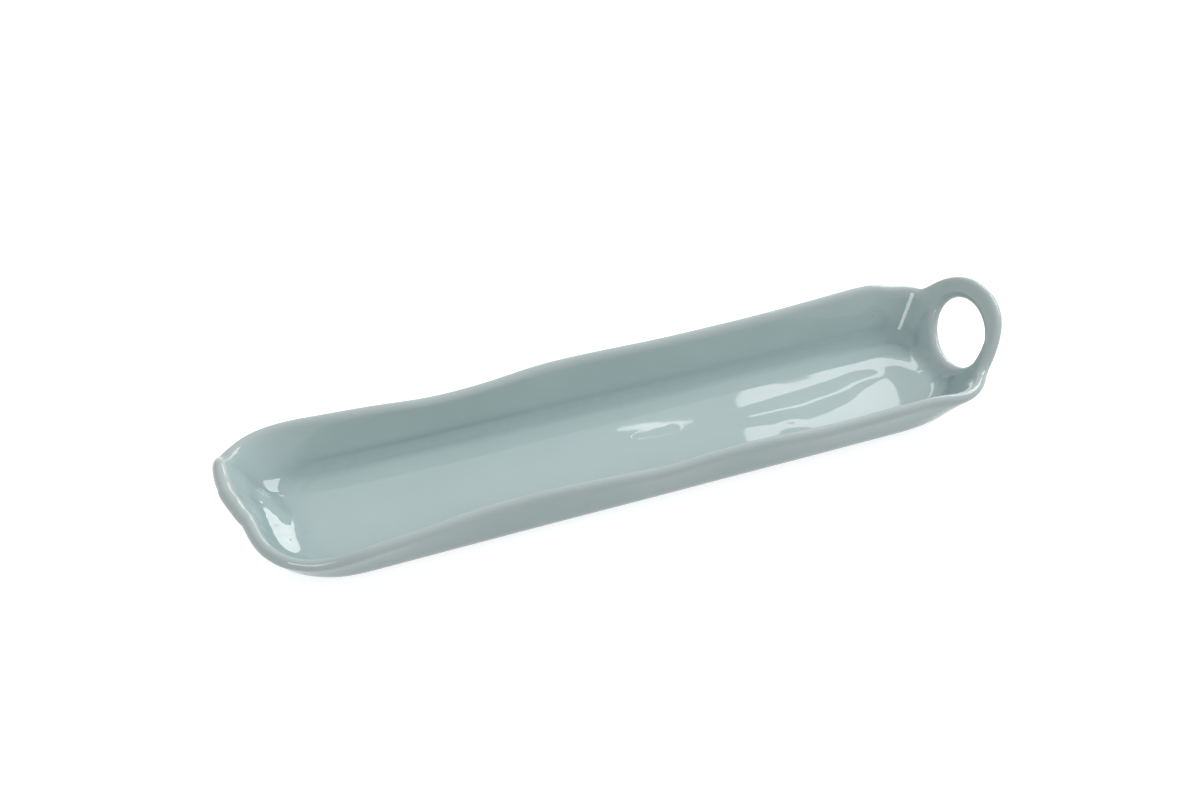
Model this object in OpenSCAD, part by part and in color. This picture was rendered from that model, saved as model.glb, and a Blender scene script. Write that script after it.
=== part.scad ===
// Long hand-formed serving dish for asparagus, with a finger ring at one end
// and a rolled grip lip at the other. It stands on a low unglazed foot.
// +X points to the ring, +Z up. The foot stands on z = 0, and the origin is on
// the table, under the middle of the whole dish.
// The dish is one sheet of clay, bent up all round. Its middle surface is
// worked out first, and the clay lies half a thickness to each side of it.

/* [Dish] */
// Length from the outside of the lip to the outside of the ring wall at the height of the rims
dish_length = 400; // [340:1:460]
// Width over the two side rims
dish_width = 98; // [90:1:120]
// Height of the side rims above the table
rim_height = 32; // [29:1:40]
// Thickness of the clay in the walls
wall = 6; // [4:0.5:7]
// Thickness of the clay in the floor
floor_thickness = 5.8; // [4:0.2:7]
// Slope of the side walls from the table, in degrees
side_slope = 72; // [64:1:78]
// Slope of the scooped wall behind the lip, in degrees
scoop_slope = 58; // [45:1:70]
// Slope of the wall that carries the ring, in degrees
ring_slope = 62; // [56:1:70]
// Radius of the bend from the floor into the side walls
bend_radius = 10; // [6:0.5:11]
// Radius of the bend from the floor into the wall that carries the ring
ring_bend = 12; // [8:0.5:13]
// Radius of the long bend at the scooped end
scoop_radius = 30; // [20:1:36]
// Radius of the floor's front corner at the scooped end
scoop_front_corner = 20; // [12:1:26]
// Radius of the floor's back corner at the scooped end
scoop_back_corner = 18; // [10:1:22]
// Width of the floor's front corner at the ring end
front_corner = 18; // [12:1:20]
// How much longer than wide that corner is on the floor, which sweeps in towards the ring
front_sweep = 24; // [0:1:28]
// Radius of the floor's back corner at the ring end
back_corner = 9; // [6:1:14]
// How square the corners of the floor are: 2 is an ellipse, more is squarer
floor_square_ratio = 2.2; // [2:0.2:3]
// How square the corners of the rims are
rim_square_ratio = 2.8; // [2:0.2:4]
// How much wider the floor is at the scooped end than at the ring, on each side
floor_taper = 2.5; // [0:0.5:4]

/* [Hand-formed waves] */
// How far the rims wave in and out
wave_depth = 3; // [0:0.5:4]
// How far the rims wave up and down
wave_height = 2; // [0:0.5:3]
// Depth of the gentle hollows in the floor
hollow_depth = 0.4; // [0:0.1:0.8]
// Length of the hollows in the floor, along the dish
hollow_length = 92; // [70:1:120]

/* [Ring handle] */
// Width of the finger hole, across the dish
hole_width = 44.5; // [38:0.5:48]
// Height of the finger hole, measured up the leaning wall
hole_height = 32; // [28:0.5:38]
// Lean of the finger hole within the wall, its back side up, in degrees
hole_lean_angle = 4; // [0:1:10]
// Width of the strand of clay round the hole, on average
strand = 12; // [10:0.5:14]
// Clay between the bend at the floor and the finger hole
hole_sill = 4.2; // [4:0.2:6]
// How far the hole lies behind the middle of the dish, or in front of it if negative
hole_offset = 0; // [-2:0.5:3]

/* [Grip lip] */
// How far the lip rises above the rims beside it
lip_rise = 3; // [2:0.5:6]
// How far the lip reaches out past the rims beside it
lip_reach = 2.5; // [1:0.5:5]
// How much thicker the rolled lip is than the walls
lip_roll = 2.4; // [0:0.2:3]

/* [Foot] */
// Height of the unglazed foot under the floor
foot_height = 1.2; // [0.8:0.2:3]
// Width of the foot's band
foot_width = 4; // [3:0.5:8]
// How far the foot lies inside the edge of the flat floor
foot_inset = 2; // [1:0.5:6]
// Least corner radius of the foot's band
foot_corner = 3; // [2:0.5:6]

/* [Hidden] */

// Cells of the sheet along a side, round a corner, across an end and up a wall
side_cells = 30;
corner_cells = 6;
end_cells = 12;
wall_rows = 9;
// Steps over a rounded edge
edge_steps = 4;
// Columns between two values of the rim tables
station_columns = 3;

// Columns run round the dish from the lip end of the front side
front_end = side_cells;
ring_start = front_end + corner_cells;
ring_end = ring_start + end_cells;
back_start = ring_end + corner_cells;
back_end = back_start + side_cells;
lip_start = back_end + corner_cells;
lip_end = lip_start + end_cells;
columns = lip_end + corner_cells;
half_corner_cells = corner_cells / 2;

// Heights of the rows up a wall, as shares of its rise
row_shares = [0, 0.045, 0.17, 0.31, 0.45, 0.58, 0.7, 0.81, 0.91, 1];

// In-and-out waves round the rim, as shares of wave_depth
rim_out_shares = [
    // Front rim, from the lip to the ring
    1.1, 0.5, -0.4, -0.4, -0.1, 0.5, 0, 0.1, 0.5, 0.5, 0.2,
    // Front corner, ring end and back corner beside the ring
    1.4, 0, 0, 0, 0, 0, 0,
    // Back rim, from the ring to the lip
    0.5, 0.3, 0.1, 0.1, 0, 0, 0.1, -0.6, -0.6, -0.1, 0.5,
    // Back corner, lip from back to front, and front corner
    1.7, -0.6, -0.7, -1.1, -1.2, -1.4, 0.7,
];

// Up-and-down waves round the rim, as shares of wave_height
rim_up_shares = [
    // Front rim, from the lip to the ring
    -1.6, -0.5, 0.1, 0.5, 0.1, -0.3, 0, 0, -0.5, -0.2, -0.3,
    // Front corner, ring end and back corner beside the ring
    -0.7, 0, 0, 0, 0, 0, -0.5,
    // Back rim, from the ring to the lip
    0.7, 0.4, 0, -0.2, -0.1, 0.3, 0.2, -0.5, -0.9, -0.2, 0,
    // Back corner, lip from back to front, and front corner
    -0.3, 0, -0.1, -0.8, -1.7, -2.4, -4.2,
];

// Width of the strand of clay round the ring, from front to back, as shares of it
strand_shares = [1, 0.8, 0.84, 0.96, 1.02, 1.01, 0.99, 0.97, 0.97, 0.99, 1.05, 1.17, 1.4];

// The lip steps up at its back end and dies away round the front corner
lip_back_column = lip_start - 1;
lip_front_column = lip_end + half_corner_cells;
lip_rise_shares = [[lip_back_column - 1, 0], [lip_back_column, 0.9], [(lip_start + lip_end) / 2, 1],
    [lip_end, 0.6], [lip_front_column, 0]];
// Turns of the two columns between which the lip steps up
step_before_angle = 156;
step_after_angle = 162;

// Rows where the ring and the lip are joined to the walls
ring_row = 2;
lip_row = 6;

// Block of cells that the finger hole takes out of the sheet
hole_left_column = ring_start + 2;
hole_right_column = ring_end - 2;
hole_low_row = 3;
hole_high_row = 7;
// Turns about the hole at the ring's front foot, at the hole's first
// and last column, and at the notch behind the ring
front_turn_angle = 184;
hole_turn_angle = 30;
notch_turn_angle = 0;

// Turn of each column, and its place along and across the core of the floor
turn_steps = [[0, -90], [front_end, -90], [ring_start, 0], [ring_end, 0], [back_start, 90], [back_end, 90],
    [lip_back_column - 1, step_before_angle], [lip_back_column, step_after_angle],
    [lip_start, 180], [lip_end, 180], [columns, 270]];
along_steps = [[0, 0], [front_end, 1], [back_start, 1], [back_end, 0], [columns, 0]];
across_steps = [[0, -1], [ring_start, -1], [ring_end, 1], [lip_start, 1], [lip_end, -1], [columns, -1]];

function mix(a, b, share) = a + (b - a) * share;
function ease(share) = share * share * (3 - 2 * share);
function unit(v) = v / norm(v);

// Smooth curve through a closed table of values
function curve(p0, p1, p2, p3, t) =
    p1 + t * ((p2 - p0) + t * ((2 * p0 - 5 * p1 + 4 * p2 - p3) + t * (3 * p1 - p0 - 3 * p2 + p3))) / 2;
function station(table, k) = table[(k + len(table)) % len(table)];
function round_rim(table, i) =
    let (k = floor(i / station_columns), t = i / station_columns - k)
    curve(station(table, k - 1), station(table, k), station(table, k + 1), station(table, k + 2), t);

// Height of the middle of the floor's clay, and rise of the rim's middle above it
floor_middle = foot_height + floor_thickness / 2;
side_rise = rim_height - wall / 2 - floor_middle;

// How far a wall has gone out where it is z above the floor: a bend, then a straight slope
function bend_rise(radius, slope) = radius * (1 - cos(slope));
function run(z, radius, slope) =
    z < bend_rise(radius, slope)
    ? sqrt(max(0, 2 * radius * z - z * z))
    : radius * sin(slope) + (z - bend_rise(radius, slope)) / tan(slope);

// Flat floor that is left between the walls
floor_half = (dish_width - wall) / 2 - run(side_rise, bend_radius, side_slope);
floor_left = -dish_length / 2 + (wall + lip_roll) / 2 + lip_reach
    + run(side_rise + lip_rise, scoop_radius, scoop_slope);
floor_right = dish_length / 2 - wall / 2 - run(side_rise, ring_bend, ring_slope);

// Core of the floor, inside its corners, and the way out from it at a turn and a height
function rounded(end, side, turn, power) =
    pow(pow(abs(cos(turn)) / end, power) + pow(abs(sin(turn)) / side, power), -1 / power);
function corner_radius(along, across) =
    mix(mix(scoop_front_corner, scoop_back_corner, (across + 1) / 2),
        mix(front_corner, back_corner, (across + 1) / 2), along);
function corner_length(along, across, z) =
    corner_radius(along, across) + front_sweep * along * (1 - across) / 2 * max(0, 1 - z / side_rise);
function half_floor(along) = floor_half + floor_taper * (0.5 - along);
function core_x(along, across, z) = mix(floor_left, floor_right, along)
    + corner_length(along, across, z) * (1 - 2 * along);
function core_y(along, across) = mix(corner_radius(along, -1) - half_floor(along),
    half_floor(along) - corner_radius(along, 1), (across + 1) / 2);
function end_run(along, z) = along < 0.5 ? run(z, scoop_radius, scoop_slope) : run(z, ring_bend, ring_slope);
function reach(along, across, turn, z) =
    let (end = corner_length(along, across, z) + end_run(along, z))
    let (side = corner_radius(along, across) + run(z, bend_radius, side_slope)
        - floor_taper * (0.5 - along) * z / side_rise)
    rounded(end, side, turn, mix(floor_square_ratio, rim_square_ratio, min(1, z / side_rise)));
function place(along, across, turn, z, out) =
    let (r = reach(along, across, turn, z) + out)
    [core_x(along, across, z) + r * cos(turn), core_y(along, across) + r * sin(turn), floor_middle + z];

// Middle surface of the walls: the rim's rise and its way out at a column
function lip_share(i) = lookup(i, lip_rise_shares);
function rim_rise(i) = side_rise + wave_height * round_rim(rim_up_shares, i) + lip_rise * lip_share(i);
function rim_out(i) = wave_depth * round_rim(rim_out_shares, i) + lip_reach * lip_share(i);
function wall_point(i, j) =
    place(lookup(i, along_steps), lookup(i, across_steps), lookup(i, turn_steps),
        rim_rise(i) * row_shares[j], rim_out(i) * pow(row_shares[j], 2));

// The ring's wall carries places [a, z], with a across the dish and z above the floor
hole_rise = bend_rise(ring_bend, ring_slope) + (hole_sill + hole_height / 2) * sin(ring_slope);
function round_hole(out, turn) =
    let (side = turn - hole_lean_angle)
    let (r = out + 1 / norm([2 * cos(side) / hole_width, 2 * sin(side) / hole_height]))
    [hole_offset + r * cos(turn), hole_rise + r * sin(turn) * sin(ring_slope)];
wall_front = core_y(1, -1);
wall_back = core_y(1, 1);
function wall_across(a) = max(-1, min(1, 2 * (a - wall_front) / (wall_back - wall_front) - 1));
function wall_turn(az) =
    let (past = az.x - min(wall_back, max(wall_front, az.x)))
    past / (corner_length(1, sign(past), az.y) + end_run(1, az.y)) * 180 / PI;
function on_ring_wall(az) = place(1, wall_across(az.x), wall_turn(az), az.y, 0);

// Turn about the hole of a ring column, and of a row beside the hole
function ring_turn(i) = lookup(i, [[ring_start, front_turn_angle], [hole_left_column, 180 - hole_turn_angle],
    [hole_right_column, hole_turn_angle], [ring_end, notch_turn_angle]]);
function beside_turn(j) =
    mix(-hole_turn_angle, hole_turn_angle, (j - hole_low_row) / (hole_high_row - hole_low_row));

// Where the sheet ends under the rounded edges of the ring and of the hole
function ring_rim(i) = round_hole(strand * strand_shares[i - ring_start] - wall / 2, ring_turn(i));
function hole_top(i) = round_hole(wall / 2, ring_turn(i));
function hole_foot(i) = round_hole(wall / 2, -ring_turn(i));

// Places on the ring's wall: columns that meet the hole, its flanks, and those between
function ring_bottom(i) = [mix(wall_front, wall_back, (i - ring_start) / end_cells), 0];
bend_shares = [0, 0.25, 1];
function bend_place(i, j) =
    let (z = bend_rise(ring_bend, ring_slope) * bend_shares[j])
    [mix(ring_bottom(i).x, hole_foot(i).x, z / hole_foot(i).y), z];
function over_hole(i, j) =
    j < hole_low_row ? bend_place(i, j)
    : j > hole_high_row ? mix(hole_top(i), ring_rim(i), (j - hole_high_row) / (wall_rows - hole_high_row))
    : i == hole_left_column ? round_hole(wall / 2, 180 - beside_turn(j))
    : i == hole_right_column ? round_hole(wall / 2, beside_turn(j))
    : mix(hole_foot(i), hole_top(i), (j - hole_low_row) / (hole_high_row - hole_low_row));
function flank(i, j) = mix(ring_bottom(i), ring_rim(i), row_shares[j]);
function ring_place(i, j) =
    j == 0 ? ring_bottom(i)
    : j == wall_rows ? ring_rim(i)
    : i == ring_start || i == ring_end ? flank(i, j)
    : i < hole_left_column ? mix(flank(ring_start, j), over_hole(hole_left_column, j), 0.5)
    : i > hole_right_column ? mix(flank(ring_end, j), over_hole(hole_right_column, j), 0.5)
    : over_hole(i, j);

// Corners beside the ring take up the height and the turn of its flanks
function corner_point(i, j) =
    let (front = i < ring_start)
    let (share = (front ? ring_start - i : i - ring_end) / corner_cells)
    let (az = flank(front ? ring_start : ring_end, j))
    let (z = mix(az.y, rim_rise(i) * row_shares[j], ease(share)))
    place(1, front ? -1 : 1, mix(wall_turn(az), front ? -90 : 90, share), z,
        rim_out(i) * sqrt(share) * pow(row_shares[j], 2));

function middle_point(i, j) =
    i > front_end && i < ring_start || i > ring_end && i < back_start ? corner_point(i, j)
    : i >= ring_start && i <= ring_end ? on_ring_wall(ring_place(i, j))
    : wall_point(i, j);

middle = [for (i = [0 : columns - 1]) [for (j = [0 : wall_rows]) middle_point(i, j)]];

// Direction into the dish, square to the middle surface
function at(i, j) = middle[(i + columns) % columns][j];
function along_rim(i, j) = at(i + 1, j) - at(i - 1, j);
function up_wall(i, j) = at(i, min(j + 1, wall_rows)) - at(i, j - 1);
facing = [for (i = [0 : columns - 1]) [for (j = [0 : wall_rows])
    j == 0 ? [0, 0, 1] : unit(cross(up_wall(i, j), along_rim(i, j)))]];

// Half of the clay's thickness at a column and a row
function half_wall(i, j) =
    (mix(floor_thickness, wall, row_shares[j]) + lip_roll * lip_share(i) * pow(row_shares[j], 3)) / 2;

// Points over a rounded edge, from the inner skin to the outer one
function edge_point(m, n, t, half, k) =
    let (angle = 180 * k / edge_steps)
    m + half * (n * cos(angle) + unit(cross(t, n)) * sin(angle));

inner_points = [for (i = [0 : columns - 1]) for (j = [0 : wall_rows])
    middle[i][j] + facing[i][j] * half_wall(i, j)];
outer_points = [for (i = [0 : columns - 1]) for (j = [0 : wall_rows])
    middle[i][j] - facing[i][j] * half_wall(i, j)];
rim_points = [for (i = [0 : columns - 1]) for (k = [1 : edge_steps - 1])
    let (top = wall_rows)
    edge_point(middle[i][top], facing[i][top], along_rim(i, top), half_wall(i, top), k)];

// Columns and rows round the hole, along its foot, up its back, over and down its front
hole_loop = concat(
    [for (i = [hole_left_column : hole_right_column - 1]) [i, hole_low_row]],
    [for (j = [hole_low_row : hole_high_row - 1]) [hole_right_column, j]],
    [for (i = [hole_right_column : -1 : hole_left_column + 1]) [i, hole_high_row]],
    [for (j = [hole_high_row : -1 : hole_low_row + 1]) [hole_left_column, j]]);
loop_count = len(hole_loop);
function on_loop(h) = let (c = hole_loop[(h + loop_count) % loop_count]) middle[c[0]][c[1]];
hole_points = [for (h = [0 : loop_count - 1]) for (k = [1 : edge_steps - 1])
    let (c = hole_loop[h])
    edge_point(on_loop(h), facing[c[0]][c[1]], on_loop(h + 1) - on_loop(h - 1), half_wall(c[0], c[1]), k)];

// Floor: a grid whose border is the lowest row of the walls
grid_long = side_cells + corner_cells;
grid_wide = end_cells + corner_cells;
function border(gx, gy) =
    (columns + (gy == 0 ? gx - half_corner_cells
    : gx == grid_long ? front_end + half_corner_cells + gy
    : gy == grid_wide ? ring_end + half_corner_cells + grid_long - gx
    : lip_end + half_corner_cells - gy)) % columns;
function border_point(gx, gy) = middle[border(gx, gy)][0];
function floor_point(gx, gy) =
    let (u = gx / grid_long, v = gy / grid_wide)
    mix(border_point(gx, 0), border_point(gx, grid_wide), v)
    + mix(border_point(0, gy), border_point(grid_long, gy), u)
    - mix(mix(border_point(0, 0), border_point(grid_long, 0), u),
        mix(border_point(0, grid_wide), border_point(grid_long, grid_wide), u), v);
// Gentle hollows, left by the hands that smoothed the floor
function hollow(p) =
    let (edge = (1 - pow(p.y / floor_half, 2)))
    let (phase = 360 * p.x / hollow_length)
    hollow_depth * edge * (sin(phase) + cos(phase / 2 + 180 * p.y / floor_half)) / 2;
floor_top = [for (gx = [1 : grid_long - 1]) for (gy = [1 : grid_wide - 1])
    let (p = floor_point(gx, gy))
    p + [0, 0, floor_thickness / 2 + hollow(p)]];
floor_under = [for (gx = [1 : grid_long - 1]) for (gy = [1 : grid_wide - 1])
    floor_point(gx, gy) - [0, 0, floor_thickness / 2]];

points = concat(inner_points, outer_points, rim_points, hole_points, floor_top, floor_under);
skin_count = len(inner_points);
rim_first = 2 * skin_count;
hole_first = rim_first + len(rim_points);
top_first = hole_first + len(hole_points);
under_first = top_first + len(floor_top);

// Numbers of the points on the skins, over the rim, over the hole's edge and on the floor
function skin(i, j, outer) = (outer ? skin_count : 0) + ((i + columns) % columns) * (wall_rows + 1) + j;
function over_rim(i, k) =
    k == 0 ? skin(i, wall_rows, false)
    : k == edge_steps ? skin(i, wall_rows, true)
    : rim_first + ((i + columns) % columns) * (edge_steps - 1) + k - 1;
function over_edge(h, k) =
    let (n = (h + loop_count) % loop_count, c = hole_loop[n])
    k == 0 ? skin(c[0], c[1], false)
    : k == edge_steps ? skin(c[0], c[1], true)
    : hole_first + n * (edge_steps - 1) + k - 1;
function on_floor(gx, gy, under) =
    gx == 0 || gx == grid_long || gy == 0 || gy == grid_wide
    ? skin(border(gx, gy), 0, under)
    : (under ? under_first : top_first) + (gx - 1) * (grid_wide - 1) + gy - 1;

// Two triangles for four corners, the same two when the corners are taken the other way round
function pair(a, b, c, d) = [[a, b, c], [a, c, d]];

// Which piece a cell of the sheet belongs to
function owner(i, j) =
    let (c = (i + columns) % columns)
    c >= hole_left_column && c < hole_right_column && j >= hole_low_row && j < hole_high_row ? "hole"
    : c >= ring_start && c < ring_end && j >= ring_row ? "ring_handle"
    : c >= lip_back_column && c < lip_front_column && j >= lip_row ? "grip_lip"
    : "dish_shell";

function skin_faces(name) = [for (i = [0 : columns - 1]) for (j = [0 : wall_rows - 1])
    if (owner(i, j) == name)
    each concat(
        pair(skin(i, j, false), skin(i + 1, j, false), skin(i + 1, j + 1, false), skin(i, j + 1, false)),
        pair(skin(i, j, true), skin(i, j + 1, true), skin(i + 1, j + 1, true), skin(i + 1, j, true)))];
function rim_faces(name) = [for (i = [0 : columns - 1])
    if (owner(i, wall_rows - 1) == name)
    for (k = [0 : edge_steps - 1])
    each pair(over_rim(i, k), over_rim(i + 1, k), over_rim(i + 1, k + 1), over_rim(i, k + 1))];
function hole_faces() = [for (h = [0 : loop_count - 1]) for (k = [0 : edge_steps - 1])
    each pair(over_edge(h, k), over_edge(h + 1, k), over_edge(h + 1, k + 1), over_edge(h, k + 1))];

// Luted faces between two pieces, along a row and up a column of the sheet
function row_seam(i, j, above) =
    above
    ? pair(skin(i, j, false), skin(i, j, true), skin(i + 1, j, true), skin(i + 1, j, false))
    : pair(skin(i, j, false), skin(i + 1, j, false), skin(i + 1, j, true), skin(i, j, true));
function column_seam(i, j, after) =
    after
    ? pair(skin(i, j, false), skin(i, j + 1, false), skin(i, j + 1, true), skin(i, j, true))
    : pair(skin(i, j, false), skin(i, j, true), skin(i, j + 1, true), skin(i, j + 1, false));
function rim_seam(i, after) =
    let (middle_step = edge_steps / 2)
    [for (k = [0 : middle_step - 1])
    let (a = over_rim(i, k), b = over_rim(i, k + 1))
    let (c = over_rim(i, edge_steps - k - 1), d = over_rim(i, edge_steps - k))
    each k == middle_step - 1 ? [after ? [a, b, d] : [a, d, b]]
    : after ? pair(a, b, c, d) : pair(a, d, c, b)];
function meets(name, here, there) = owner(here[0], here[1]) == name
    && owner(there[0], there[1]) != name && owner(there[0], there[1]) != "hole";
function seam_faces(name) = concat(
    [for (i = [0 : columns - 1]) for (j = [1 : wall_rows - 1])
        if (meets(name, [i, j - 1], [i, j])) each row_seam(i, j, false)],
    [for (i = [0 : columns - 1]) for (j = [1 : wall_rows - 1])
        if (meets(name, [i, j], [i, j - 1])) each row_seam(i, j, true)],
    [for (i = [0 : columns - 1]) for (j = [0 : wall_rows - 1])
        if (meets(name, [i - 1, j], [i, j])) each column_seam(i, j, false)],
    [for (i = [0 : columns - 1]) for (j = [0 : wall_rows - 1])
        if (meets(name, [i, j], [i - 1, j])) each column_seam(i, j, true)],
    [for (i = [0 : columns - 1])
        if (meets(name, [i - 1, wall_rows - 1], [i, wall_rows - 1])) each rim_seam(i, false)],
    [for (i = [0 : columns - 1])
        if (meets(name, [i, wall_rows - 1], [i - 1, wall_rows - 1])) each rim_seam(i, true)]);
function floor_faces() = [for (gx = [0 : grid_long - 1]) for (gy = [0 : grid_wide - 1])
    each concat(
        pair(on_floor(gx, gy, false), on_floor(gx, gy + 1, false),
            on_floor(gx + 1, gy + 1, false), on_floor(gx + 1, gy, false)),
        pair(on_floor(gx, gy, true), on_floor(gx + 1, gy, true),
            on_floor(gx + 1, gy + 1, true), on_floor(gx, gy + 1, true)))];

// Middle of the whole dish, along and across
function middle_of(places) = (min(places) + max(places)) / 2;
dish_middle = [middle_of([for (p = points) p.x]), middle_of([for (p = points) p.y]), 0];

glaze = "#a9bdbd";
bare_clay = "#d9cdb8";

// Trough: the flat floor, its walls and the long rims
module dish_shell() {
    color(glaze)
    translate(-dish_middle)
    polyhedron(points, concat(floor_faces(), skin_faces("dish_shell"), rim_faces("dish_shell"),
        seam_faces("dish_shell")));
}

// Strand of clay round the finger hole, luted into the end wall
module ring_handle() {
    color(glaze)
    translate(-dish_middle)
    polyhedron(points, concat(skin_faces("ring_handle"), rim_faces("ring_handle"), hole_faces(),
        seam_faces("ring_handle")));
}

// Rolled strip that crowns the scooped end, to lift the dish by
module grip_lip() {
    color(glaze)
    translate(-dish_middle)
    polyhedron(points, concat(skin_faces("grip_lip"), rim_faces("grip_lip"), seam_faces("grip_lip")));
}

// Outline of the flat floor, drawn in by an inset
function foot_side(along, across, inset) = max(foot_corner, corner_radius(along, across) - inset);
function foot_end(along, across, inset) = max(foot_corner, corner_length(along, across, 0) - inset);
function foot_point(i, inset) =
    let (along = lookup(i, along_steps), across = lookup(i, across_steps), turn = lookup(i, turn_steps))
    let (end = foot_end(along, across, inset), half = half_floor(along) - inset)
    let (r = rounded(end, foot_side(along, across, inset), turn, floor_square_ratio))
    [mix(floor_left + inset, floor_right - inset, along) + end * (1 - 2 * along) + r * cos(turn),
        mix(foot_side(along, -1, inset) - half, half - foot_side(along, 1, inset), (across + 1) / 2)
        + r * sin(turn)];
function foot_outline(inset) = [for (i = [0 : columns - 1]) foot_point(i, inset)];

// Low band of bare clay that the dish stands on
module foot_ring() {
    color(bare_clay)
    translate(-dish_middle)
    linear_extrude(height = foot_height)
    difference() {
        polygon(foot_outline(foot_inset));
        polygon(foot_outline(foot_inset + foot_width));
    }
}

dish_shell();
ring_handle();
grip_lip();
foot_ring();
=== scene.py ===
"""A long stoneware dish for asparagus: wavy hand-pressed rims, a finger ring at one end
and a rolled grip lip at the other, under one glossy duck-egg glaze on a bare clay foot."""

import math

import bmesh
import bpy
import numpy
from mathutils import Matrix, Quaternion, Vector
from mathutils.kdtree import KDTree


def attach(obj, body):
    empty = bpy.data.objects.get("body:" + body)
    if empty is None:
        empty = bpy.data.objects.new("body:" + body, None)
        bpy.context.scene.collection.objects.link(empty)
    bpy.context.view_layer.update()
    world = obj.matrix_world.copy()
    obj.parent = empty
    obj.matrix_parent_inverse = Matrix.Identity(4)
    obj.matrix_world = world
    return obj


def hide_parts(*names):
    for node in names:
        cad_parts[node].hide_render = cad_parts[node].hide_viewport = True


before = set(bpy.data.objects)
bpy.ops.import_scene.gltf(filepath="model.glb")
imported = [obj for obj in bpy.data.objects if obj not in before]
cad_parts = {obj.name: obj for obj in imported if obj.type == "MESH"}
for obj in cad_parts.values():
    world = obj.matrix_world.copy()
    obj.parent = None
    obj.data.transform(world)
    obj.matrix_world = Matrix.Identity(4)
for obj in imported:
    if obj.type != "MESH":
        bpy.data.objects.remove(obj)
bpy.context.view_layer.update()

MM = 0.001
WHITE = "#ffffff"


def from_hex(code):
    """A colour written in sRGB, as the linear colour that a shader takes."""
    def linear(value):
        return value / 12.92 if value <= 0.04045 else ((value + 0.055) / 1.055) ** 2.4
    channels = [int(code[place:place + 2], 16) / 255 for place in (1, 3, 5)]
    return [linear(value) for value in channels] + [1.0]


def add_node(tree, kind, settings=None, **links):
    """Adds a shader node with its settings. A link gives an input a value or another node's output.
    It names the input, with _ for a space, or it is _ and the input's number."""
    node = tree.nodes.new(kind)
    for name, value in (settings or {}).items():
        setattr(node, name, value)
    for name, value in links.items():
        number = name.removeprefix("_")
        socket = node.inputs[int(number) if number.isdigit() else name.replace("_", " ")]
        if isinstance(value, bpy.types.NodeSocket):
            tree.links.new(value, socket)
        else:
            socket.default_value = value
    return node


def new_material(name):
    material = bpy.data.materials.new(name)
    material.use_nodes = True
    material.node_tree.nodes.clear()
    return material


def set_material(piece, material):
    piece.data.materials.clear()
    piece.data.materials.append(material)


def select_only(*objects):
    bpy.ops.object.select_all(action="DESELECT")
    for thing in objects:
        thing.hide_set(False)
        thing.select_set(True)
    bpy.context.view_layer.objects.active = objects[0]


# Camera, where the photograph was taken from

CAMERA_AZIMUTH = math.radians(-20.39)
CAMERA_ELEVATION = math.radians(40.01)
CAMERA_DISTANCE = 996.5 * MM
CAMERA_TARGET = Vector((3.375, 45.5, 0)) * MM
# The sensor's width and the focal length in mm, as a camera takes them
SENSOR_WIDTH = 36.0
LENS = 56.51


def view_direction():
    """The way the camera looks. At azimuth 0 it looks along +Y."""
    level = math.cos(CAMERA_ELEVATION)
    return Vector((-level * math.sin(CAMERA_AZIMUTH), level * math.cos(CAMERA_AZIMUTH),
                   -math.sin(CAMERA_ELEVATION)))


def add_camera():
    bpy.ops.object.camera_add()
    camera = bpy.context.object
    camera.name = "photo_camera"
    camera.data.sensor_fit = "HORIZONTAL"
    camera.data.sensor_width = SENSOR_WIDTH
    camera.data.lens = LENS
    ahead = view_direction()
    camera.location = CAMERA_TARGET - ahead * CAMERA_DISTANCE
    camera.rotation_mode = "QUATERNION"
    camera.rotation_quaternion = ahead.to_track_quat("-Z", "Y")
    bpy.context.scene.camera = camera


# Dish

MERGE_DISTANCE = 0.01 * MM
ANY_ANGLE = math.pi
SMOOTHING_LEVELS = 2

# Height of the floor's top above the table, and how near to it a place still counts as floor
FLOOR_LEVEL = 7.0 * MM
FLOOR_TOLERANCE = 0.6 * MM
# How upright a normal is at least on the floor, inside the dish and on top of the rims
FLOOR_UPRIGHT = 0.9
INSIDE_UPRIGHT = 0.5
RIM_UPRIGHT = 0.5
# Inside the dish is below the first height, and a rim is above the second
INSIDE_HEIGHT = 22 * MM
RIM_HEIGHT = 28 * MM

# The clay's fine relief is made of touches, each a place along and across the dish, a radius and a
# depth in mm. A negative depth is raised. A ridge is a row of touches that are this far apart, and
# its stations give its place along and across the dish and its half width
TOUCH_SPACING = 5

# The low ridge between two strokes of the fingers, at the ring end of the floor
RIDGE_STATIONS = [(62, -2, 8.5), (98, -3, 12.5), (120, 0, 11), (134, 5, 8.5), (150, 6, 5)]
RIDGE_RISE_PER_WIDTH = 0.012

# The soft rise of the floor before the bend at the ring end
BEND_STATIONS = [(168, -26, 22), (168, 0, 22), (165, 26, 24)]
BEND_RISE_PER_WIDTH = 0.0102

# The soft roll of clay on the scooped wall below the lip
ROLL_STATIONS = [(-183, 20, 8), (-180, 11, 11), (-178.5, 0, 12), (-178, -12, 10), (-178, -20, 6)]
ROLL_RISE_PER_WIDTH = 0.07

# Single touches on the floor
FLOOR_TOUCHES = [
    (87, -18, 9, -0.16),
    (83, 27, 20, -0.05),
    (128, 29, 20, -0.05),
    (-37, 4, 5, 0.1),
    (26, 0, 7, -0.08),
    (18, 0, 7, -0.1),
    (10, 1, 6, -0.08),
]

# Where the lip starts over the back rim, the rim is pressed down behind the lip's raised end
LIP_TOUCHES = [
    (-196, 34, 5, 1.6),
    (-199, 25, 6, -0.9),
]

# The name under which the mesh keeps how thick the glaze lies, the radius of a bend in which it
# pools fully, and how many neighbours far the pooling evens out
POOLING = "glaze_pooling"
POOLING_RADIUS = 14 * MM
POOLING_SPREAD = 8


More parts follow.
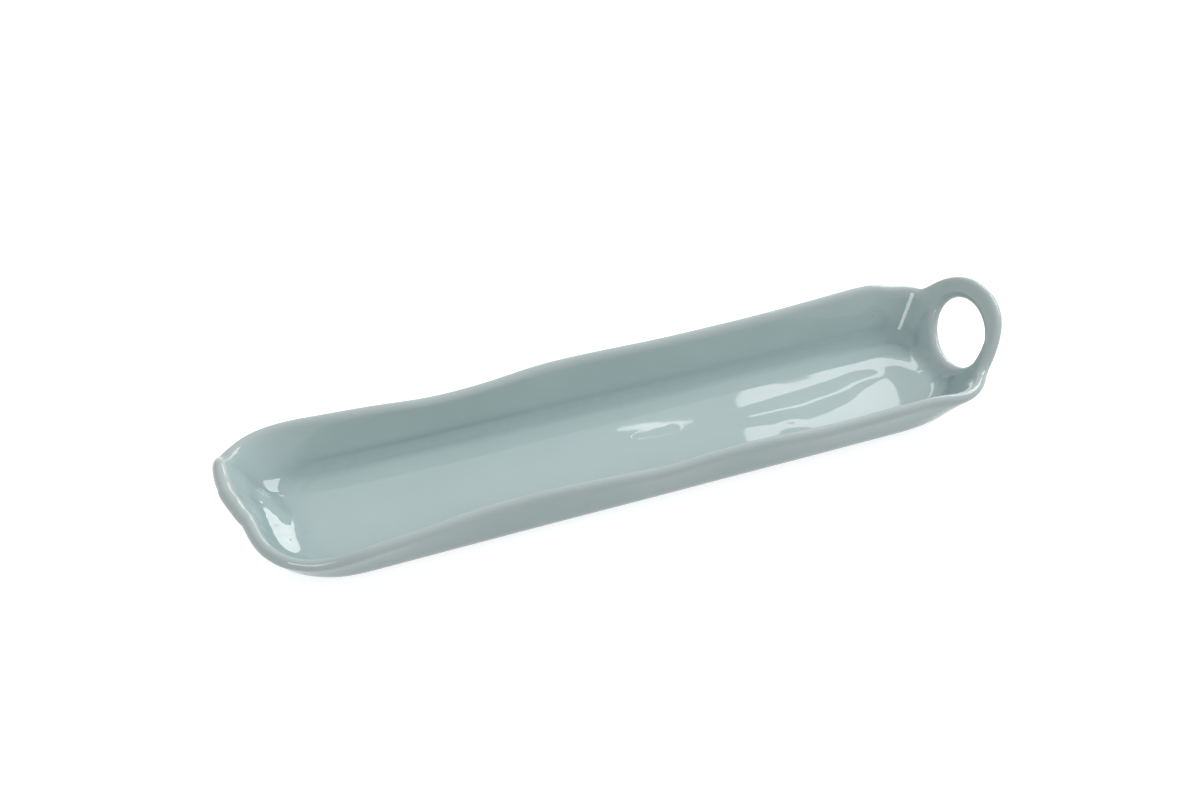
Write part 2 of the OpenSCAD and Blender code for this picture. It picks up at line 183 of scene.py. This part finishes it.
def copy_of(nodes, name):
    """One new object from copies of some CAD nodes."""
    select_only(*[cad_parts[node] for node in nodes])
    bpy.ops.object.duplicate()
    bpy.context.view_layer.objects.active = bpy.context.selected_objects[0]
    bpy.ops.object.join()
    piece = bpy.context.view_layer.objects.active
    piece.name = name
    piece.data.name = name
    for key in list(piece.keys()):
        if key.startswith("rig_"):
            del piece[key]
    return piece


def drop_seams(piece):
    """Takes out the luted faces, which lie twice in the same place, once for each part they join."""
    places = KDTree(len(piece.data.polygons))
    for face in piece.data.polygons:
        places.insert(face.center, face.index)
    places.balance()
    doubled = [face.index for face in piece.data.polygons
               if len(places.find_range(face.center, MERGE_DISTANCE)) > 1]
    bpy.ops.object.mode_set(mode="EDIT")
    bpy.ops.mesh.select_all(action="DESELECT")
    bpy.ops.object.mode_set(mode="OBJECT")
    for index in doubled:
        piece.data.polygons[index].select = True
    bpy.ops.object.mode_set(mode="EDIT")
    bpy.ops.mesh.select_mode(type="FACE")
    bpy.ops.mesh.delete(type="FACE")
    bpy.ops.object.mode_set(mode="OBJECT")


def join_seams(piece):
    """Merges the loose triangles of the parts into one skin, mostly of four-sided faces."""
    bpy.ops.object.mode_set(mode="EDIT")
    bpy.ops.mesh.select_all(action="SELECT")
    bpy.ops.mesh.remove_doubles(threshold=MERGE_DISTANCE)
    bpy.ops.mesh.tris_convert_to_quads(face_threshold=ANY_ANGLE, shape_threshold=ANY_ANGLE)
    bpy.ops.object.mode_set(mode="OBJECT")


def on_floor(vertex):
    return abs(vertex.co.z - FLOOR_LEVEL) < FLOOR_TOLERANCE and vertex.normal.z > FLOOR_UPRIGHT


def inside_dish(vertex):
    return vertex.normal.z > INSIDE_UPRIGHT and vertex.co.z < INSIDE_HEIGHT


def on_rim(vertex):
    return vertex.normal.z > RIM_UPRIGHT and vertex.co.z > RIM_HEIGHT


def level_floor(piece):
    """Makes the floor quite flat, for the touches of the fingers to show."""
    bpy.ops.object.mode_set(mode="EDIT")
    bpy.ops.mesh.select_mode(type="VERT")
    bpy.ops.mesh.select_all(action="DESELECT")
    bpy.ops.object.mode_set(mode="OBJECT")
    for vertex in piece.data.vertices:
        vertex.select = on_floor(vertex)
    bpy.ops.object.mode_set(mode="EDIT")
    bpy.ops.transform.resize(value=(1, 1, 0), center_override=(0, 0, FLOOR_LEVEL))
    bpy.ops.object.mode_set(mode="OBJECT")


def soften(piece):
    rounding = piece.modifiers.new("rounding", "SUBSURF")
    rounding.levels = SMOOTHING_LEVELS
    rounding.render_levels = SMOOTHING_LEVELS
    bpy.ops.object.modifier_apply(modifier=rounding.name)


def ridge(stations, rise_per_width):
    """The raised touches of a ridge, close together from station to station."""
    touches = []
    for before, after in zip(stations, stations[1:]):
        steps = round(math.dist(before[:2], after[:2]) / TOUCH_SPACING)
        for step in range(steps):
            x, y, radius = [a + (b - a) * step / steps for a, b in zip(before, after)]
            touches.append((x, y, radius, -rise_per_width * radius))
    return touches


def touch_clay(piece, touches, takes_touch):
    """Presses or lifts the clay at each place, seen from above, less and less out to the radius."""
    candidates = [vertex for vertex in piece.data.vertices if takes_touch(vertex)]
    nearest = KDTree(len(candidates))
    for vertex in candidates:
        nearest.insert((vertex.co.x, vertex.co.y, 0), vertex.index)
    nearest.balance()
    bpy.ops.object.mode_set(mode="EDIT")
    for x, y, radius, depth in touches:
        index = nearest.find((x * MM, y * MM, 0))[1]
        bpy.ops.mesh.select_all(action="DESELECT")
        clay = bmesh.from_edit_mesh(piece.data)
        clay.verts.ensure_lookup_table()
        clay.verts[index].select = True
        bmesh.update_edit_mesh(piece.data, loop_triangles=False, destructive=False)
        bpy.ops.transform.translate(value=(0, 0, -depth * MM), use_proportional_edit=True,
                                    proportional_edit_falloff="SMOOTH", proportional_size=radius * MM,
                                    use_proportional_connected=True)
    bpy.ops.object.mode_set(mode="OBJECT")


def note_glaze_pooling(piece):
    """Keeps, at each point, how thick the glaze lies. It runs off sharp edges, towards -1, and pools
    in hollows, towards 1."""
    count = len(piece.data.vertices)
    places = numpy.empty(count * 3)
    normals = numpy.empty(count * 3)
    ends = numpy.empty(len(piece.data.edges) * 2, dtype=numpy.int32)
    piece.data.vertices.foreach_get("co", places)
    piece.data.vertices.foreach_get("normal", normals)
    piece.data.edges.foreach_get("vertices", ends)
    places = places.reshape(-1, 3)
    normals = normals.reshape(-1, 3)
    one, other = ends.reshape(-1, 2).T
    along = places[other] - places[one]
    squares = (along * along).sum(axis=1)
    # The curvature is twice a neighbour's height above the tangent plane, over its distance squared
    at_one = 2 * (normals[one] * along).sum(axis=1) / squares
    at_other = -2 * (normals[other] * along).sum(axis=1) / squares
    neighbours = numpy.bincount(one, minlength=count) + numpy.bincount(other, minlength=count)
    bend = (numpy.bincount(one, at_one, count) + numpy.bincount(other, at_other, count)) / neighbours
    for _ in range(POOLING_SPREAD):
        spread = numpy.bincount(one, bend[other], count) + numpy.bincount(other, bend[one], count)
        bend = (bend + spread / neighbours) / 2
    pooling = numpy.clip(bend * POOLING_RADIUS, -1, 1)
    piece.data.attributes.new(POOLING, "FLOAT", "POINT").data.foreach_set("value", pooling)


def glazed_dish():
    """The shell, the ring and the lip as the one piece of clay that they are after firing."""
    piece = copy_of(["dish_shell", "ring_handle", "grip_lip"], "glazed_dish")
    select_only(piece)
    drop_seams(piece)
    join_seams(piece)
    level_floor(piece)
    soften(piece)
    touch_clay(piece, ridge(RIDGE_STATIONS, RIDGE_RISE_PER_WIDTH) + FLOOR_TOUCHES, inside_dish)
    touch_clay(piece, ridge(BEND_STATIONS, BEND_RISE_PER_WIDTH), inside_dish)
    touch_clay(piece, ridge(ROLL_STATIONS, ROLL_RISE_PER_WIDTH), inside_dish)
    touch_clay(piece, LIP_TOUCHES, on_rim)
    note_glaze_pooling(piece)
    bpy.ops.object.shade_smooth()
    return piece


# Materials

# The smallest speck's radius as a share of the largest's, and how much of a radius is quite dark
SMALLEST_SPECK = 0.4
SPECK_CORE = 0.5

# The span of a pattern's values over which a roughness changes
ROUGHNESS_SPAN = (0.3, 0.7)

# A cloud, a grain and a ripple are given by their width. A colour comes in over a span of its
# pattern's values, and covers at most its share. A speck has at most one place in each cell
GLAZE_BODY = "#a9bbbb"
GLAZE_THIN = "#adbab9"
GLAZE_POOLED = "#93a8a9"
GLAZE_IRON = "#5f6660"
# The glaze's thickness at which its colour starts to change, and at which it has changed
THIN_SPAN = (-0.15, -0.9)
POOLED_SPAN = (0.05, 0.75)
GLAZE_CLOUD = 40 * MM
GLAZE_CLOUD_SPAN = (0.35, 0.65)
GLAZE_CLOUD_SHARE = 0.16
GLAZE_GRAIN = 5 * MM
GLAZE_GRAIN_SPAN = (0.4, 0.7)
GLAZE_GRAIN_SHARE = 0.10
GLAZE_SPECK_CELL = 22 * MM
GLAZE_SPECK_RADIUS = 0.55 * MM
GLAZE_SPECK_CHANCE = 0.3
GLAZE_SPECK_SHARE = 0.5
GLAZE_RIPPLE = 14 * MM
GLAZE_RIPPLE_HEIGHT = 0.008 * MM
GLAZE_ROUGHNESS = (0.018, 0.03)
GLAZE_IOR = 1.5

CLAY_BODY = "#d9cdb8"
CLAY_WARM = "#cdbfa7"
CLAY_GROG = "#e6dccb"
CLAY_IRON = "#8a7460"
CLAY_CLOUD = 12 * MM
CLAY_CLOUD_SPAN = (0.35, 0.65)
CLAY_GRAIN = 0.8 * MM
CLAY_GRAIN_SPAN = (0.45, 0.75)
CLAY_GRAIN_SHARE = 0.5
CLAY_GRAIN_HEIGHT = 0.05 * MM
CLAY_SPECK_CELL = 2.5 * MM
CLAY_SPECK_RADIUS = 0.25 * MM
CLAY_SPECK_CHANCE = 0.4
CLAY_ROUGHNESS = (0.75, 0.95)


def tint_towards(tree, tint, code, value, span, share=1.0):
    """A tint that turns into another colour as the value goes through the span, up to the share."""
    amount = add_node(tree, "ShaderNodeMapRange", Value=value, From_Min=span[0], From_Max=span[1],
                      To_Max=share)
    mixed = add_node(tree, "ShaderNodeMix", {"data_type": "RGBA"}, _0=amount.outputs["Result"],
                     _6=tint, _7=from_hex(code))
    return mixed.outputs[2]


def specks(tree, place, cell, radius, chance):
    """1 on small round specks, at most one in each cell, and only in some cells."""
    cells = add_node(tree, "ShaderNodeTexVoronoi", Vector=place, Scale=1 / cell)
    draw = add_node(tree, "ShaderNodeSeparateColor", Color=cells.outputs["Color"])
    chosen = add_node(tree, "ShaderNodeMath", {"operation": "LESS_THAN"}, _0=draw.outputs["Red"],
                      _1=chance)
    size = add_node(tree, "ShaderNodeMapRange", Value=draw.outputs["Green"],
                    To_Min=SMALLEST_SPECK * radius / cell, To_Max=radius / cell)
    edge = add_node(tree, "ShaderNodeMath", {"operation": "DIVIDE"}, _0=cells.outputs["Distance"],
                    _1=size.outputs["Result"])
    inside = add_node(tree, "ShaderNodeMapRange", Value=edge.outputs[0], From_Min=1.0,
                      From_Max=SPECK_CORE)
    speck = add_node(tree, "ShaderNodeMath", {"operation": "MULTIPLY"}, _0=inside.outputs["Result"],
                     _1=chosen.outputs[0])
    return speck.outputs[0]


def glaze_material():
    """Duck-egg stoneware glaze: glossy glass with a body tint that goes paler where it runs thin over
    the rims and deeper where it pools in the bends, faintly mottled, with a few specks of iron."""
    material = new_material("duck_egg_stoneware_glaze")
    tree = material.node_tree
    place = add_node(tree, "ShaderNodeTexCoord").outputs["Object"]
    pooling = add_node(tree, "ShaderNodeAttribute", {"attribute_name": POOLING}).outputs["Fac"]
    clouds = add_node(tree, "ShaderNodeTexNoise", Vector=place, Scale=1 / GLAZE_CLOUD, Detail=2.0)
    grains = add_node(tree, "ShaderNodeTexNoise", Vector=place, Scale=1 / GLAZE_GRAIN, Detail=3.0)
    iron = specks(tree, place, GLAZE_SPECK_CELL, GLAZE_SPECK_RADIUS, GLAZE_SPECK_CHANCE)
    tint = tint_towards(tree, from_hex(GLAZE_BODY), GLAZE_THIN, pooling, THIN_SPAN)
    tint = tint_towards(tree, tint, GLAZE_POOLED, pooling, POOLED_SPAN)
    tint = tint_towards(tree, tint, GLAZE_POOLED, clouds.outputs["Fac"], GLAZE_CLOUD_SPAN,
                        GLAZE_CLOUD_SHARE)
    tint = tint_towards(tree, tint, GLAZE_THIN, grains.outputs["Fac"], GLAZE_GRAIN_SPAN,
                        GLAZE_GRAIN_SHARE)
    tint = tint_towards(tree, tint, GLAZE_IRON, iron, (0, 1), GLAZE_SPECK_SHARE)
    roughness = add_node(tree, "ShaderNodeMapRange", Value=clouds.outputs["Fac"],
                         From_Min=ROUGHNESS_SPAN[0], From_Max=ROUGHNESS_SPAN[1],
                         To_Min=GLAZE_ROUGHNESS[0], To_Max=GLAZE_ROUGHNESS[1])
    ripples = add_node(tree, "ShaderNodeTexNoise", Vector=place, Scale=1 / GLAZE_RIPPLE, Detail=1.0)
    relief = add_node(tree, "ShaderNodeBump", Height=ripples.outputs["Fac"], Strength=1.0,
                      Distance=GLAZE_RIPPLE_HEIGHT)
    shader = add_node(tree, "ShaderNodeBsdfPrincipled", Base_Color=tint, IOR=GLAZE_IOR,
                      Roughness=roughness.outputs["Result"], Normal=relief.outputs["Normal"])
    add_node(tree, "ShaderNodeOutputMaterial", Surface=shader.outputs["BSDF"])
    return material


def clay_material():
    """Bare stoneware: fired clay that was wiped clean of glaze, dry and grainy, with grog and iron
    in it."""
    material = new_material("bare_fired_stoneware")
    tree = material.node_tree
    place = add_node(tree, "ShaderNodeTexCoord").outputs["Object"]
    clouds = add_node(tree, "ShaderNodeTexNoise", Vector=place, Scale=1 / CLAY_CLOUD, Detail=3.0)
    grains = add_node(tree, "ShaderNodeTexNoise", Vector=place, Scale=1 / CLAY_GRAIN, Detail=2.0)
    iron = specks(tree, place, CLAY_SPECK_CELL, CLAY_SPECK_RADIUS, CLAY_SPECK_CHANCE)
    tint = tint_towards(tree, from_hex(CLAY_BODY), CLAY_WARM, clouds.outputs["Fac"], CLAY_CLOUD_SPAN)
    tint = tint_towards(tree, tint, CLAY_GROG, grains.outputs["Fac"], CLAY_GRAIN_SPAN,
                        CLAY_GRAIN_SHARE)
    tint = tint_towards(tree, tint, CLAY_IRON, iron, (0, 1))
    roughness = add_node(tree, "ShaderNodeMapRange", Value=grains.outputs["Fac"],
                         From_Min=ROUGHNESS_SPAN[0], From_Max=ROUGHNESS_SPAN[1],
                         To_Min=CLAY_ROUGHNESS[0], To_Max=CLAY_ROUGHNESS[1])
    relief = add_node(tree, "ShaderNodeBump", Height=grains.outputs["Fac"], Strength=1.0,
                      Distance=CLAY_GRAIN_HEIGHT)
    shader = add_node(tree, "ShaderNodeBsdfPrincipled", Base_Color=tint,
                      Roughness=roughness.outputs["Result"], Normal=relief.outputs["Normal"])
    add_node(tree, "ShaderNodeOutputMaterial", Surface=shader.outputs["BSDF"])
    return material


# Studio

TABLE_WIDTH = 12
TABLE_COLOUR = "#c6caca"
# How much the table is lifted towards white where the camera sees it
TABLE_LIFT = 0.76
# The table lies this far below the foot, so that the two faces never coincide
TABLE_CLEARANCE = 0.2 * MM

# The even light's strength on its dark and on its bright side, and where the bright side is
DARK_SIDE = 0.05
BRIGHT_SIDE = 0.90
BRIGHT_DIRECTION = Vector((0.6, 0.1, 0.79))


def white_rays(tree):
    """1 for what the camera sees straight on or in a mirror or glass, and 0 for light on the object."""
    path = add_node(tree, "ShaderNodeLightPath")
    mirror = add_node(tree, "ShaderNodeMath", {"operation": "MAXIMUM"},
                      _0=path.outputs["Is Camera Ray"], _1=path.outputs["Is Glossy Ray"])
    glass = add_node(tree, "ShaderNodeMath", {"operation": "MAXIMUM"}, _0=mirror.outputs[0],
                     _1=path.outputs["Is Transmission Ray"])
    return glass.outputs[0]


def add_table():
    """A plain white table. What the camera sees of it is lifted to white, and keeps a light shadow."""
    bpy.ops.mesh.primitive_plane_add(size=TABLE_WIDTH, location=(0, 0, -TABLE_CLEARANCE))
    plane = bpy.context.object
    plane.name = "table"
    material = new_material("white_table")
    tree = material.node_tree
    plain = add_node(tree, "ShaderNodeBsdfDiffuse", Color=from_hex(TABLE_COLOUR))
    lift = add_node(tree, "ShaderNodeEmission", Color=from_hex(WHITE), Strength=TABLE_LIFT)
    lifted = add_node(tree, "ShaderNodeAddShader", _0=plain.outputs[0], _1=lift.outputs[0])
    shown = add_node(tree, "ShaderNodeMixShader", _0=white_rays(tree), _1=plain.outputs[0],
                     _2=lifted.outputs[0])
    add_node(tree, "ShaderNodeOutputMaterial", Surface=shown.outputs[0])
    set_material(plane, material)


def add_world():
    """Even light that is strongest from its bright side. The camera and the reflections see it as
    plain white."""
    world = bpy.data.worlds.new("studio")
    bpy.context.scene.world = world
    world.use_nodes = True
    tree = world.node_tree
    tree.nodes.clear()
    way = add_node(tree, "ShaderNodeTexCoord")
    nearness = add_node(tree, "ShaderNodeVectorMath", {"operation": "DOT_PRODUCT"},
                        _0=way.outputs["Generated"], _1=BRIGHT_DIRECTION.normalized())
    strength = add_node(tree, "ShaderNodeMapRange", Value=nearness.outputs["Value"], From_Min=-1.0,
                        From_Max=1.0, To_Min=DARK_SIDE, To_Max=BRIGHT_SIDE)
    light = add_node(tree, "ShaderNodeBackground", Color=from_hex(WHITE),
                     Strength=strength.outputs["Result"])
    white = add_node(tree, "ShaderNodeBackground", Color=from_hex(WHITE), Strength=1.0)
    shown = add_node(tree, "ShaderNodeMixShader", _0=white_rays(tree), _1=light.outputs[0],
                     _2=white.outputs[0])
    add_node(tree, "ShaderNodeOutputWorld", Surface=shown.outputs[0])


def softbox(name, azimuth, elevation, distance, width, height, radiance, roll=0, shape="RECTANGLE"):
    """A flat lamp that faces the dish, with its angles in degrees and its sizes in metres. Its azimuth
    is measured from +X. Its roll lifts the side that lies further round. On a rectangle, a radiance
    of 1 is white."""
    level = math.cos(math.radians(elevation))
    way = Vector((level * math.cos(math.radians(azimuth)), level * math.sin(math.radians(azimuth)),
                  math.sin(math.radians(elevation))))
    bpy.ops.object.light_add(type="AREA", location=way * distance)
    lamp = bpy.context.object
    lamp.name = name
    lamp.data.shape = shape
    lamp.data.size = width
    lamp.data.size_y = height
    lamp.data.energy = radiance * math.pi * width * height
    lamp.rotation_mode = "QUATERNION"
    facing = (-way).to_track_quat("-Z", "Y")
    lamp.rotation_quaternion = facing @ Quaternion((0, 0, 1), math.radians(roll))


def add_lamps():
    # The window shape on the floor at the ring end, which the ridge parts in two
    softbox("key", azimuth=56.5, elevation=38.68, distance=1.845, width=0.272, height=0.077,
            radiance=3.6, roll=24)
    # The thin lens shape in the middle of the floor
    softbox("sliver", azimuth=66.8, elevation=40.61, distance=1.83, width=0.115, height=0.009,
            radiance=3.8, roll=8, shape="ELLIPSE")
    # These two make the highlights on the scooped end
    softbox("window", azimuth=46, elevation=21, distance=2.1, width=0.80, height=0.46,
            radiance=4.5)
    softbox("daylight", azimuth=16.45, elevation=39.3, distance=2.07, width=1.416, height=0.69,
            radiance=5.9)
    # The line in the back corner by the ring
    softbox("strip", azimuth=-134.5, elevation=30, distance=3.6, width=0.85, height=1.5,
            radiance=5.9)


# Scene

add_camera()

dish = glazed_dish()
set_material(dish, glaze_material())
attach(dish, "root")
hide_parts("dish_shell", "ring_handle", "grip_lip")

set_material(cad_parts["foot_ring"], clay_material())

add_table()
add_world()
add_lamps()

bpy.context.scene.view_settings.view_transform = "Standard"
